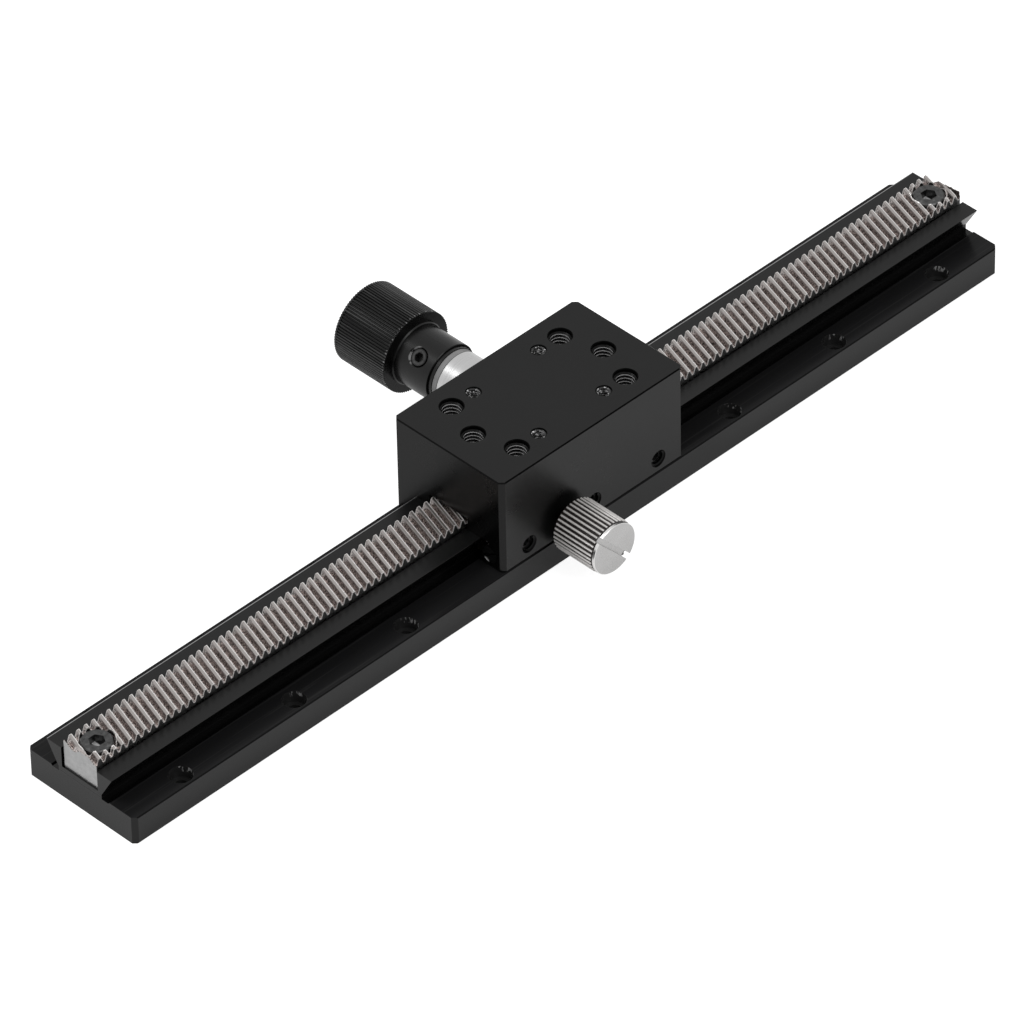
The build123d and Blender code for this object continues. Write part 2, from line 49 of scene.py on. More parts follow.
# Camera, as fitted to the photograph: the view's turn, height, tilt, shift and distance, and its reach
VIEW_TURN = math.radians(44.187)
VIEW_HEIGHT = math.radians(40.394)
VIEW_TILT = math.radians(-1.191)
VIEW_SHIFT = (2.455 * MM, -0.505 * MM)
VIEW_DISTANCE = 1624.0 * MM
VIEW_REACH = 50.0

# The photograph's width in pixels, its scale at the rail's middle, and the lens that gives that scale
PICTURE_WIDTH = 1024
PIXELS_PER_METRE = 6094.0
SENSOR = 36.0
LENS = PIXELS_PER_METRE * VIEW_DISTANCE * SENSOR / PICTURE_WIDTH

# Strengths of the even light: on matt surfaces, and of what the camera and mirroring surfaces see
WORLD_LIGHT = 0.45
WORLD_SEEN = 1.0
FLOOR_SEEN = 0.85
FLOOR_MIRRORED = 0.39

# The floor, which lies just under the rail so that the two don't touch
FLOOR_SHADE = 0.8
FLOOR_HALF = 4.0
FLOOR_LEVEL = -0.05 * MM

# Lamps: name, place, width, and power in watts
LAMPS = (("key", (-0.5, 0.35, 0.9), 0.4, 2.4), ("fill", (0.0, -0.8, 0.9), 0.6, 2.1))

# A distance too small to see, for the limits of masks and for faces that would lie in one plane
SKIN = 0.01 * MM

# The rail and its rack
RACK_END, RACK_HALF_WIDTH, RACK_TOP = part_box("rack")[1]
TONGUE_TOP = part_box("rail")[1].z
TONGUE_HALF = 7.5 * MM
# Width of the bright metal strip along the tongue's far top edge, a painted highlight
EDGE_HIGHLIGHT = 0.15 * MM
FLANGE_TOP = 5.5 * MM
RAIL_HOLE_PITCH = 25.0 * MM
RAIL_HOLE_Y = 10.0 * MM
RAIL_HOLE_RADIUS = 2.05 * MM
RACK_END_CHAMFER = 0.35 * MM
RACK_SCREW_X = 96.0 * MM
RACK_BORE_RADIUS = 3.1 * MM
CAP_KEY_DEPTH = 1.5 * MM
CAP_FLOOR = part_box("rack_screw_left")[1].z - CAP_KEY_DEPTH

# The carriage: its middle, the half of its length that its holes lie within, its sides and its top
CARRIAGE_X = 3.2 * MM
CARRIAGE_INNER = 20.0 * MM
CARRIAGE_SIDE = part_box("carriage")[1].y
CARRIAGE_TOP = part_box("carriage")[1].z
GIB_SCREW_Z = 8.4 * MM
GIB_SCREW_PITCH = 14.95 * MM

# The tapped holes in its top, from its middle: the M4 rectangle, another M4 pair and the M2.5 rectangle
M4_HALVES = (12.5 * MM, 7.5 * MM)
M4_PAIR_X = 15.0 * MM
M25_HALVES = (7.5 * MM, 7.5 * MM)

# Where the gib's end and the screws beside it glint, in Y and Z
GIB_GLINT = (-7.4 * MM, 9.1 * MM)
END_SCREW_GLINT = (-8.5 * MM, 6.35 * MM)

# The knob and its set screw, whose angle is from the X axis, and whose mouth and ring are radii
AXLE_Z = 16.249 * MM
KNOB_AXIS = (CARRIAGE_X, AXLE_Z)
KNOB_START = 28.8 * MM
KNOB_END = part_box("knob")[1].y
KNOB_RADIUS = 7.5 * MM
KNOB_RIM_LENGTH = 0.4 * MM
KNOB_RIM_DEPTH = 0.3 * MM
KNOB_RIM_BREAK = 0.08 * MM
KNOB_RIM_STEPS = 180
KNOB_SCREW_Y = 24.2 * MM
KNOB_SCREW_ANGLE = math.radians(134.5)
KNOB_SCREW_MOUTH = 1.75 * MM
KNOB_SCREW_RING = 1.1 * MM

# The thumb screw: its axis and reach in Y, and its head from the shank to the slotted face
CLAMP_AXIS = (-3.0 * MM, GIB_SCREW_Z)
CLAMP_FACE_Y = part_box("clamp_screw")[0].y
CLAMP_SHANK_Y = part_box("clamp_screw")[1].y
CLAMP_SHANK = 1.45 * MM
CLAMP_HEAD_LENGTH = 9.6 * MM
CLAMP_RIDGES = 36
CLAMP_RIDGE_STEPS = 12
CLAMP_RIDGE_SHARPNESS = 1.3
CLAMP_CREST = 4.85 * MM
CLAMP_RIDGE_DEPTH = 0.45 * MM
CLAMP_RIDGE_START = 0.05 * MM
CLAMP_RIDGE_RISE = 0.4 * MM
CLAMP_BEAD = 0.3 * MM
CLAMP_BEAD_STEPS = 4
CLAMP_GROOVE = 4.3 * MM
CLAMP_GROOVE_LENGTH = 0.3 * MM
CLAMP_RIM = 4.7 * MM
CLAMP_RIM_LENGTH = 0.55 * MM
CLAMP_RIM_BREAK = 0.1 * MM
CLAMP_SLOT = 1.05 * MM
CLAMP_SLOT_ANGLE = math.radians(-48.0)

# The rack's teeth in the plane of its length: module, helix, and where one crest stands
MODULE = 0.5 * MM
HELIX = math.radians(17.2)
HELIX_SLOPE = math.tan(HELIX)
PITCH = math.pi * MODULE / math.cos(HELIX)
FLANK_SLOPE = math.tan(math.radians(20.0)) / math.cos(HELIX)
TOOTH_DEPTH = 2.25 * MODULE
CREST_OFFSET = -0.71 * MM
TIP_HALF = PITCH / 4 - MODULE * FLANK_SLOPE
ROOT_HALF = PITCH / 4 + 1.25 * MODULE * FLANK_SLOPE
TOOTH_ROOT = RACK_TOP - TOOTH_DEPTH
TOOTH_COUNT = int(RACK_END / PITCH) + 2

# Threads, in shares of their pitch: how far the ridge stands in, and half of its root and of its crest
THREAD_DEPTH = 0.54
THREAD_ROOT = 0.45
THREAD_CREST = 0.12
THREAD_STEPS = 24

# How much a face at 45 degrees looks upward, and how near to that a face counts as slanting
SLANT = math.sin(math.radians(45.0))
SLANT_SPAN = (0.08, 0.12)

# How strongly the black finishes mirror: refractive index, and level on slanting and on other faces
BLOCK_IOR = 1.33
RAIL_IOR = 1.37
KNOB_IOR = 1.38
SLANTING_LEVEL = 0.16
OTHER_LEVEL = 0.5

# Shares of that level on the carriage's ends, on its long sides and inside it, and on the rail's flange
END_SHARE = 0.6
LONG_SIDE_SHARE = 1.2
INSIDE_SHARE = 0.25
FLANGE_SHARE = 0.32

# Colours of the rack's teeth, from root to crest by share of their depth: painted light, paler towards
# the roots against the shade between the teeth
TOOTH_PAINTED_LIGHT = ((0.0, (0.86, 0.785, 0.76)), (0.45, (0.67, 0.61, 0.59)), (0.8, (0.48, 0.44, 0.425)),
                (0.965, (0.5, 0.465, 0.45)), (0.985, (0.42, 0.395, 0.38)))


def grey(level):
    return (level, level, level)


def scaled(values, by):
    return tuple(by * value for value in values)


def corners(x, y):
    """The corners of a rectangle about the origin, from half its width and half its height."""
    return [(-x, -y), (x, -y), (x, y), (-x, y)]


def about_axis(axis, r, angle, y):
    """The place at a radius and an angle round an axis along Y, which is given by its X and Z."""
    return (axis[0] + r * math.cos(angle), y, axis[1] + r * math.sin(angle))


def place_camera():
    """Camera at the photograph's viewing angle, aimed near the rail's middle."""
    forward = Vector((math.sin(VIEW_TURN) * math.cos(VIEW_HEIGHT),
                      math.cos(VIEW_TURN) * math.cos(VIEW_HEIGHT), -math.sin(VIEW_HEIGHT)))
    level = Vector((math.cos(VIEW_TURN), -math.sin(VIEW_TURN), 0))
    upward = level.cross(forward)
    right = math.cos(VIEW_TILT) * level + math.sin(VIEW_TILT) * upward
    up = -math.sin(VIEW_TILT) * level + math.cos(VIEW_TILT) * upward
    where = -(VIEW_SHIFT[0] * right + VIEW_SHIFT[1] * up + VIEW_DISTANCE * forward)
    data = bpy.data.cameras.new("camera")
    data.sensor_width = SENSOR
    data.lens = LENS
    data.clip_end = VIEW_REACH
    camera = bpy.data.objects.new("camera", data)
    turn = Matrix((right, up, -forward)).transposed().to_4x4()
    camera.matrix_world = Matrix.Translation(where) @ turn
    bpy.context.scene.collection.objects.link(camera)
    bpy.context.scene.camera = camera


class Nodes:
    """A material's node tree, with short names for the nodes used here."""

    def __init__(self, name):
        self.material = bpy.data.materials.new(name)
        self.material.use_nodes = True
        self.tree = self.material.node_tree
        self.shader = self.tree.nodes["Principled BSDF"]
        coordinates = self.tree.nodes.new("ShaderNodeTexCoord")
        self.place = coordinates.outputs["Object"]
        axes = self.tree.nodes.new("ShaderNodeSeparateXYZ")
        self.link(self.place, axes, "Vector")
        self.x, self.y, self.z = axes.outputs["X"], axes.outputs["Y"], axes.outputs["Z"]
        facing = self.tree.nodes.new("ShaderNodeSeparateXYZ")
        self.link(coordinates.outputs["Normal"], facing, "Vector")
        self.sideways, self.upward = facing.outputs["X"], facing.outputs["Z"]

    def link(self, output, node, socket):
        self.tree.links.new(output, node.inputs[socket])

    def set(self, **values):
        for name, value in values.items():
            self.shader.inputs[name.replace("_", " ")].default_value = value

    def noise(self, scale, detail=3.0, stretch=(1, 1, 1)):
        """Noise of so many cells a metre, drawn out along an axis whose stretch is small."""
        mapping = self.tree.nodes.new("ShaderNodeMapping")
        self.link(self.place, mapping, "Vector")
        mapping.inputs["Scale"].default_value = stretch
        node = self.tree.nodes.new("ShaderNodeTexNoise")
        self.link(mapping.outputs["Vector"], node, "Vector")
        node.inputs["Scale"].default_value = scale
        node.inputs["Detail"].default_value = detail
        return node.outputs["Fac"]

    def between(self, value, low, high, to_low=0.0, to_high=1.0):
        """Turns the span from low to high into the span from to_low to to_high."""
        node = self.tree.nodes.new("ShaderNodeMapRange")
        self.link(value, node, "Value")
        spans = (("From Min", low), ("From Max", high), ("To Min", to_low), ("To Max", to_high))
        for socket, number in spans:
            node.inputs[socket].default_value = number
        return node.outputs["Result"]

    def vary(self, noise, low, high):
        """Spreads the usual span of a noise from low to high."""
        return self.between(noise, 0.3, 0.7, low, high)

    def math(self, kind, one, other=None):
        node = self.tree.nodes.new("ShaderNodeMath")
        node.operation = kind
        for socket, value in enumerate((one, other)):
            if isinstance(value, float):
                node.inputs[socket].default_value = value
            elif value is not None:
                self.link(value, node, socket)
        return node.outputs["Value"]

    def product(self, first, *others):
        for other in others:
            first = self.math("MULTIPLY", first, other)
        return first

    def gap(self, value, middle):
        """How far a value is from a middle one, on either side."""
        return self.math("ABSOLUTE", self.math("SUBTRACT", value, middle))

    def reach(self, one, other):
        """Distance from an axis, from the steps away from it in two directions at right angles."""
        squares = self.math("ADD", self.product(one, one), self.product(other, other))
        return self.math("SQRT", squares)

    def radius(self, along, height, centre):
        """Distance from an axis through a centre, from the place on the two other axes."""
        across = self.math("SUBTRACT", along, centre[0])
        rise = self.math("SUBTRACT", height, centre[1])
        return self.reach(across, rise)

    def blend(self, share, one, other, kind="MIX"):
        """One colour where share is 0, and the other where it is 1."""
        node = self.tree.nodes.new("ShaderNodeMix")
        node.data_type = "RGBA"
        node.blend_type = kind
        if isinstance(share, float):
            node.inputs[0].default_value = share
        else:
            self.link(share, node, 0)
        for socket, colour in ((6, one), (7, other)):
            if isinstance(colour, tuple):
                node.inputs[socket].default_value = (*colour, 1)
            else:
                self.link(colour, node, socket)
        return node.outputs[2]

    def darken(self, colour, by):
        return self.blend(1.0, colour, by, "MULTIPLY")

    def ramp(self, factor, *stops):
        """Colours or levels of grey at rising values of a factor."""
        node = self.tree.nodes.new("ShaderNodeValToRGB")
        self.link(factor, node, "Fac")
        points = node.color_ramp.elements
        while len(points) < len(stops):
            points.new(0.5)
        for point, (at, colour) in zip(points, stops):
            point.position = at
            point.color = (*colour, 1) if isinstance(colour, tuple) else (*grey(colour), 1)
        return node.outputs["Color"]

    def bump(self, height, distance, strength):
        node = self.tree.nodes.new("ShaderNodeBump")
        self.link(height, node, "Height")
        node.inputs["Distance"].default_value = distance
        node.inputs["Strength"].default_value = strength
        return node.outputs["Normal"]

    def use(self, **outputs):
        """Links the shader's sockets, and gives the finished material."""
        for name, output in outputs.items():
            self.link(output, self.shader, name.replace("_", " "))
        return self.material


def black_anodised(name, ior, rough, tone=(0.0014, 0.0024)):
    """Smooth black anodised aluminium, whose colour and gloss vary a little from place to place."""
    n = Nodes(name)
    n.set(Metallic=0.0, IOR=ior)
    cloud = n.noise(140)
    return n, n.vary(cloud, *tone), n.vary(cloud, *rough)


def mirror_level(n):
    """How strongly each face mirrors: less on the slanting breaks of edges and holes, a deeper black."""
    slope = n.gap(n.math("ABSOLUTE", n.upward), SLANT)
    return n.between(slope, *SLANT_SPAN, SLANTING_LEVEL, OTHER_LEVEL)


def block_black():
    """The carriage's black: deepest in its holes and under it, deep on its ends, paler on its sides."""
    n, colour, gloss = black_anodised("black_block", BLOCK_IOR, (0.26, 0.34))
    inside = n.between(n.z, CARRIAGE_TOP - SKIN, CARRIAGE_TOP - 2 * SKIN)
    for place, middle, half in ((n.x, CARRIAGE_X, CARRIAGE_INNER), (n.y, 0.0, CARRIAGE_SIDE)):
        inside = n.product(inside, n.between(n.gap(place, middle), half - SKIN, half - 2 * SKIN))
    sideways = n.math("ABSOLUTE", n.sideways)
    end = n.between(sideways, 0.85, 0.9, 1.0, END_SHARE)
    turned_away = n.math("MAXIMUM", sideways, n.math("ABSOLUTE", n.upward))
    long_side = n.between(turned_away, 0.1, 0.05, 1.0, LONG_SIDE_SHARE)
    level = n.product(mirror_level(n), end, long_side, n.between(inside, 0.0, 1.0, 1.0, INSIDE_SHARE))
    return n.use(Base_Color=colour, Roughness=gloss, Specular_IOR_Level=level,
                 Normal=n.bump(n.noise(5200, 2), 0.5 * MICRON, 0.3))


def rail_black():
    """The rail's black: streaked flange, duller tongue, painted highlight on an edge, painted light in
    its holes.
    """
    n, colour, gloss = black_anodised("black_rail", RAIL_IOR, (0.18, 0.24))
    flange = n.between(n.gap(n.z, FLANGE_TOP), 3 * SKIN, 2 * SKIN)
    level = n.product(mirror_level(n), n.between(flange, 0.0, 1.0, 1.0, FLANGE_SHARE))
    colour = n.blend(flange, colour, (0.015, 0.015, 0.0155))
    streaks = n.product(flange, n.between(n.noise(2200, 2, (0.012, 1, 1)), 0.6, 0.64), 0.3)
    colour = n.blend(streaks, colour, grey(0.05))
    # Bright metal strip along the tongue's far top edge: a painted highlight where that edge catches the
    # light
    tongue = n.between(n.z, TONGUE_TOP - 2 * SKIN, TONGUE_TOP - SKIN)
    highlight_from = TONGUE_HALF - EDGE_HIGHLIGHT
    bare_edge_highlight = n.product(n.between(n.y, highlight_from - 0.05 * MM, highlight_from), tongue)
    colour = n.blend(bare_edge_highlight, colour, grey(0.42))
    # Paler inside the counterbores: painted light that lifts the shade in them; the glints on their upper
    # walls are painted too
    hole = in_rail_hole(n)
    colour = n.blend(hole, colour, grey(0.03))
    cuts = n.between(n.noise(2300, 3, (1, 1, 0.4)), 0.54, 0.62)
    upper = n.between(n.z, FLANGE_TOP - 1.2 * MM, FLANGE_TOP - 0.9 * MM)
    glint = n.product(cuts, upper, n.between(n.sideways, -0.3, -0.6), hole)
    colour = n.blend(glint, colour, grey(0.5))
    gloss = n.math("ADD", gloss, n.between(tongue, 0.0, 1.0, 0.0, 0.14))
    strokes = n.noise(2600, 3, (0.02, 1, 1))
    return n.use(Base_Color=colour, Roughness=gloss, Metallic=bare_edge_highlight, Specular_IOR_Level=level,
                 Normal=n.bump(strokes, 0.5 * MICRON, 0.3))


def in_rail_hole(n):
    """The mask of the flange's counterbores, which stand in two rows at an even pitch."""
    across = n.math("SUBTRACT", n.math("ABSOLUTE", n.y), RAIL_HOLE_Y)
    along = n.math("SUBTRACT", n.math("PINGPONG", n.x, RAIL_HOLE_PITCH / 2), RAIL_HOLE_PITCH / 2)
    return n.between(n.reach(across, along), RAIL_HOLE_RADIUS + 5 * SKIN, RAIL_HOLE_RADIUS + 2 * SKIN)


def knob_black():
    """The knob's black, with painted highlights on some ridges, at their ends and by the set screw's
    hole.
    """
    n, colour, gloss = black_anodised("black_knob", KNOB_IOR, (0.24, 0.32), (0.002, 0.004))
    reach = n.radius(n.x, n.z, KNOB_AXIS)
    crest = n.between(reach, KNOB_RADIUS - 0.12 * MM, KNOB_RADIUS - 0.04 * MM)
    # Paler streaks along some ridge crests: a painted highlight, partly rubbing
    rubbed = n.product(crest, n.between(n.noise(1300, 3, (1, 0.04, 1)), 0.48, 0.7))
    colour = n.blend(rubbed, colour, grey(0.075))
    # Painted glints on the ridge ends next to the hub
    start = n.between(n.y, KNOB_START + 0.5 * MM, KNOB_START + 0.1 * MM)
    ends = n.product(start, n.between(n.noise(1900, 2), 0.5, 0.62), crest)
    colour = n.blend(ends, colour, grey(0.3))
    # A thin painted highlight on part of the rim of the set screw's hole
    mouth = n.between(n.gap(knob_screw_reach(n), KNOB_SCREW_MOUTH), 0.16 * MM, 0.11 * MM)
    far = n.between(n.y, KNOB_SCREW_Y + 0.4 * MM, KNOB_SCREW_Y + 0.9 * MM)
    arc = n.product(mouth, n.between(n.noise(1400, 3), 0.45, 0.52), far)
    colour = n.blend(arc, colour, grey(0.22))
    rings = n.noise(3600, 3, (0.02, 1, 0.02))
    return n.use(Base_Color=colour, Roughness=gloss, Normal=n.bump(rings, MICRON, 0.3))


def knob_screw_reach(n):
    """Distance from the axis of the knob's set screw, which points at the shaft."""
    across = n.product(n.math("SUBTRACT", n.x, CARRIAGE_X), -math.sin(KNOB_SCREW_ANGLE))
    rise = n.product(n.math("SUBTRACT", n.z, AXLE_Z), math.cos(KNOB_SCREW_ANGLE))
    return n.reach(n.math("ADD", across, rise), n.math("SUBTRACT", n.y, KNOB_SCREW_Y))


def cut_steel():
    """The rack's steel: grey crests and ends, painted paler between the teeth, with dark specks there,
    and darker sides.
    """
    n = Nodes("cut_steel")
    n.set(Metallic=1.0)
    share = n.between(n.z, TOOTH_ROOT, RACK_TOP)
    # Colour by height is painted light: the roots are made paler against the shade that falls between the
    # teeth
    tooth = n.ramp(share, *TOOTH_PAINTED_LIGHT)
    specks = n.ramp(n.noise(4000, 2), (0.4, 0.15), (0.56, 1.0))
    tooth = n.blend(n.between(share, 0.9, 0.6), tooth, n.darken(tooth, specks))
    side = n.between(n.math("ABSOLUTE", n.y), RACK_HALF_WIDTH - 2 * SKIN, RACK_HALF_WIDTH - SKIN)
    colour = n.blend(side, tooth, grey(0.3))
    outer = n.between(n.math("ABSOLUTE", n.x), RACK_END - 2 * SKIN, RACK_END - SKIN)
    colour = n.blend(outer, colour, n.ramp(n.noise(1400, 4), (0.3, 0.38), (0.7, 0.45)))
    lines = n.noise(2600, 4, (1, 0.08, 1))
    return n.use(Base_Color=colour, Roughness=n.vary(lines, 0.26, 0.4),
                 Normal=n.bump(lines, 5 * MICRON, 0.4))


def turned_metal(name, colour, rough, depth=2 * MICRON):
    """Lathe-turned stock, with fine rings round the Y axis."""
    n = Nodes(name)
    n.set(Metallic=1.0)
    rings = n.noise(4200, 3, (0.02, 1, 0.02))
    shade = n.ramp(rings, (0.2, scaled(colour, 0.9)), (0.8, colour))
    return n.use(Base_Color=shade, Roughness=n.vary(rings, *rough), Normal=n.bump(rings, depth, 0.4))


def plated(name, colour, rough, metallic=1.0):
    """A plain metal finish, a little uneven."""
    n = Nodes(name)
    n.set(Metallic=metallic)
    cloud = n.noise(700)
    shade = n.ramp(cloud, (0.3, scaled(colour, 0.9)), (0.7, colour))
    return n.use(Base_Color=shade, Roughness=n.vary(cloud, *rough),
                 Normal=n.bump(n.noise(6000, 2), 2 * MICRON, 0.3))


def clamp_nickel():
    """Nickel of the thumb screw: painted highlight on near-white ridges, painted shade nearly black
    between them, satin face and slot.
    """
    n = Nodes("nickel")
    reach = n.radius(n.x, n.z, CLAMP_AXIS)
    # Painted light on the ridges: near-white, mostly matt tops as painted highlight, nearly black valleys
    # as painted shade
    ridge = n.between(reach, CLAMP_CREST - 0.28 * MM, CLAMP_CREST - 0.16 * MM)
    side = n.ramp(ridge, (0.0, (0.035, 0.028, 0.026)), (1.0, (1.0, 0.975, 0.955)))
    rim_start = CLAMP_FACE_Y + CLAMP_RIM_LENGTH
    rim = n.between(n.y, rim_start + SKIN, rim_start - SKIN)
    slot_floor = CLAMP_FACE_Y + CLAMP_SLOT
    slot = n.product(n.between(n.y, slot_floor + 0.25 * MM, slot_floor + 0.2 * MM),
                     n.between(reach, CLAMP_GROOVE - 2 * SKIN, CLAMP_GROOVE - 6 * SKIN))
    face = n.between(n.y, CLAMP_FACE_Y + 4 * SKIN, CLAMP_FACE_Y + 2 * SKIN)
    satin = n.math("MAXIMUM", face, slot)
    colour = n.blend(rim, side, (0.92, 0.91, 0.9))
    colour = n.blend(satin, colour, (0.58, 0.575, 0.57))
    cloud = n.ramp(n.noise(300), (0.3, 0.94), (0.7, 1.0))
    return n.use(Base_Color=n.darken(colour, cloud), Roughness=n.vary(n.noise(900, 2), 0.22, 0.3),
                 Metallic=n.between(n.math("MAXIMUM", rim, satin), 0.0, 1.0, 0.1, 1.0))


def dark_oxide(name, middle=0.0, floor=-1.0):
    """Blackened steel, rubbed brighter in places. A socket's middle in X and its floor place a glint."""
    n = Nodes(name)
    cloud = n.noise(1500)
    shade = n.ramp(cloud, (0.3, 0.06), (0.62, 0.1), (0.75, 0.18))
    glint = n.product(n.between(n.z, floor + 0.05 * MM, floor + 0.02 * MM),
                      n.between(n.x, middle + 0.75 * MM, middle + 0.6 * MM),
                      n.between(n.x, middle - 0.1 * MM, middle), n.between(n.y, -0.1 * MM, 0.0))
    return n.use(Base_Color=n.blend(glint, shade, grey(0.9)), Roughness=n.vary(cloud, 0.26, 0.38),
                 Metallic=n.between(glint, 0.0, 1.0, 0.9, 0.2),
                 Normal=n.bump(n.noise(5000, 2), 3 * MICRON, 0.3))


def speckled(name, low, high):
    """Black with ragged bright specks where a fine tap tore the coating, brightened as painted
    highlights.
    """
    n = Nodes(name)
    specks = n.ramp(n.noise(2100, 2), (low, 0.01), (high, 1.0))
    return n.use(Base_Color=specks, Roughness=n.vary(n.noise(900), 0.3, 0.5))


def glinting(name, colour, where, size):
    """Dark metal with one bright glint near a place in Y and Z, in metres."""
    n = Nodes(name)
    cloud = n.noise(1500)
    near = n.between(n.radius(n.y, n.z, where), size, 0.6 * size)
    shade = n.ramp(cloud, (0.3, colour), (0.7, scaled(colour, 1.4)))
    return n.use(Base_Color=n.blend(near, shade, grey(0.9)), Roughness=n.vary(cloud, 0.26, 0.38),
                 Metallic=n.between(near, 0.0, 1.0, 0.9, 0.1))


def knob_screw_oxide():
    """The knob's set screw: black, with a thin paler ring round its socket, a painted highlight on its
    rim.
    """
    n = Nodes("knob_screw_oxide")
    n.set(Metallic=0.4)
    # The paler ring is a painted highlight on the screw's rim
    ring = n.between(n.gap(knob_screw_reach(n), KNOB_SCREW_RING), 0.2 * MM, 0.12 * MM)
    cloud = n.ramp(n.noise(1500), (0.3, 0.3), (0.7, 1.0))
    shade = n.darken(n.blend(ring, grey(0.03), grey(0.085)), cloud)
    return n.use(Base_Color=shade, Roughness=n.vary(n.noise(900), 0.2, 0.3))


def matt(name, levels, rough, mirror=0.5):
    """Matt grey with a fine grain."""
    n = Nodes(name)
    n.set(Metallic=0.0, Specular_IOR_Level=mirror)
    cloud = n.noise(500)
    shade = n.ramp(cloud, (0.3, levels[0]), (0.7, levels[1]))
    return n.use(Base_Color=shade, Roughness=n.vary(cloud, *rough),
                 Normal=n.bump(n.noise(7000, 2), 3 * MICRON, 0.4))


black_knob = knob_black()
steel = cut_steel()
# The near-white steel of the thin edge pieces on the rack is a painted highlight; the duller one is for
# the crests' left edges
edge_steel = plated("edge_steel", (1.0, 0.97, 0.95), (0.24, 0.34), 0.35)
dull_edge_steel = plated("dull_edge_steel", (0.5, 0.465, 0.45), (0.24, 0.34), 0.35)
lip_steel = plated("lip_steel", (0.4, 0.38, 0.37), (0.3, 0.4))
nickel = clamp_nickel()
bronze = turned_metal("bronze_turned", (0.62, 0.42, 0.2), (0.25, 0.35))
oxide = dark_oxide("dark_oxide")
washer_grey = matt("washer_grey", (0.33, 0.4), (0.7, 0.8), 0.04)
thread_black = plated("thread_black", grey(0.012), (0.3, 0.4))
# Near-white matt crests of the M4 threads: tapped metal, brightened as painted highlights in the dark
# holes
thread_metal = matt("thread_metal", (0.75, 1.0), (0.4, 0.5))
# The bright specks of the M2.5 threads are painted highlights
fine_thread_metal = speckled("fine_thread_metal", 0.5, 0.56)
ragged_black = speckled("ragged_black", 0.58, 0.62)
end_screw_black = glinting("end_screw_black", grey(0.03), END_SCREW_GLINT, 0.75 * MM)

FINISHES = {
    "rail": rail_black(),
    "carriage": block_black(),
    "knob": black_knob,
    "knob_set_screw": knob_screw_oxide(),
    "rack": steel,
    "pinion_shaft": steel,
    "rack_screw_left": dark_oxide("left_oxide", -RACK_SCREW_X, CAP_FLOOR),
    "rack_screw_right": dark_oxide("right_oxide", RACK_SCREW_X, CAP_FLOOR),
    "bearing_sleeve": turned_metal("sleeve_steel", grey(0.64), (0.26, 0.34), MICRON),
    "inner_bush": bronze,
    "outer_bush": bronze,
    "inner_thrust_washer": washer_grey,
    "outer_thrust_washer": washer_grey,
    # The gib is coloured near black, far darker than bronze, with one glint near its end
    "gib": glinting("near_black_bronze", (0.04, 0.032, 0.024), GIB_GLINT, 0.4 * MM),
    "gib_end_screw_left": end_screw_black,
    "gib_end_screw_right": end_screw_black,
    "clamp_pad": bronze,
    "clamp_screw": nickel,
}


def dress_nodes():
    """Gives each CAD node its material; the screws not named above are blackened."""
    for name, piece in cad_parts.items():
        piece.data.materials.clear()
        piece.data.materials.append(FINISHES.get(name, oxide))


def solid_object(name, vertices, faces):
    """A mesh object made from its corners, with every face looking outward."""
    mesh = bpy.data.meshes.new(name)
    mesh.from_pydata([tuple(corner) for corner in vertices], [], faces)
    work = bmesh.new()
    work.from_mesh(mesh)
    bmesh.ops.recalc_face_normals(work, faces=work.faces)
    work.to_mesh(mesh)
    work.free()
    solid = bpy.data.objects.new(name, mesh)
    bpy.context.scene.collection.objects.link(solid)
    return solid


def new_piece(name, vertices, faces, finish, body, marked=(), marked_finish=None):
    """A solid that rides on a body. The marked faces have a finish of their own."""
    piece = solid_object(name, vertices, faces)
    piece.data.materials.append(finish)
    if marked_finish:
        piece.data.materials.append(marked_finish)
        for face in marked:
            piece.data.polygons[face].material_index = 1
    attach(piece, body)
    return piece


def add_band(faces, ring, after, size):
    """Faces between two rings of corners of the same size, given the first corner of each."""
    for i in range(size):
        j = (i + 1) % size
        faces.append([ring + i, ring + j, after + j, after + i])


def add_prism(vertices, faces, start, end):
    """A closed bar between two rings of corners of the same size."""
    first = len(vertices)
    size = len(start)
    vertices += start + end
    faces.append([first + i for i in reversed(range(size))])
    faces.append([first + size + i for i in range(size)])
    add_band(faces, first, first + size, size)


def clear_of_bores(line, low, high):
    """The stretches of a tooth's line between low and high in Y that miss the screws' counterbores."""
    stretches = [(low, high)]
    shortest = 0.1 * MM
    for side in (-1, 1):
        # The line x = line + y * HELIX_SLOPE meets the bore's circle where a * y * y + b * y + c is 0
        off = line - side * RACK_SCREW_X
        a = 1 + HELIX_SLOPE * HELIX_SLOPE
        b = 2 * off * HELIX_SLOPE
        c = off * off - RACK_BORE_RADIUS ** 2
        root = b * b - 4 * a * c
        if root <= 0:
            continue
        near = (-b - math.sqrt(root)) / (2 * a)
        far = (-b + math.sqrt(root)) / (2 * a)
        cut = []
        for start, end in stretches:
            if near > start:
                cut.append((start, min(end, near)))
            if far < end:
                cut.append((max(start, far), end))
        stretches = [(start, end) for start, end in cut if end - start > shortest]
    return stretches


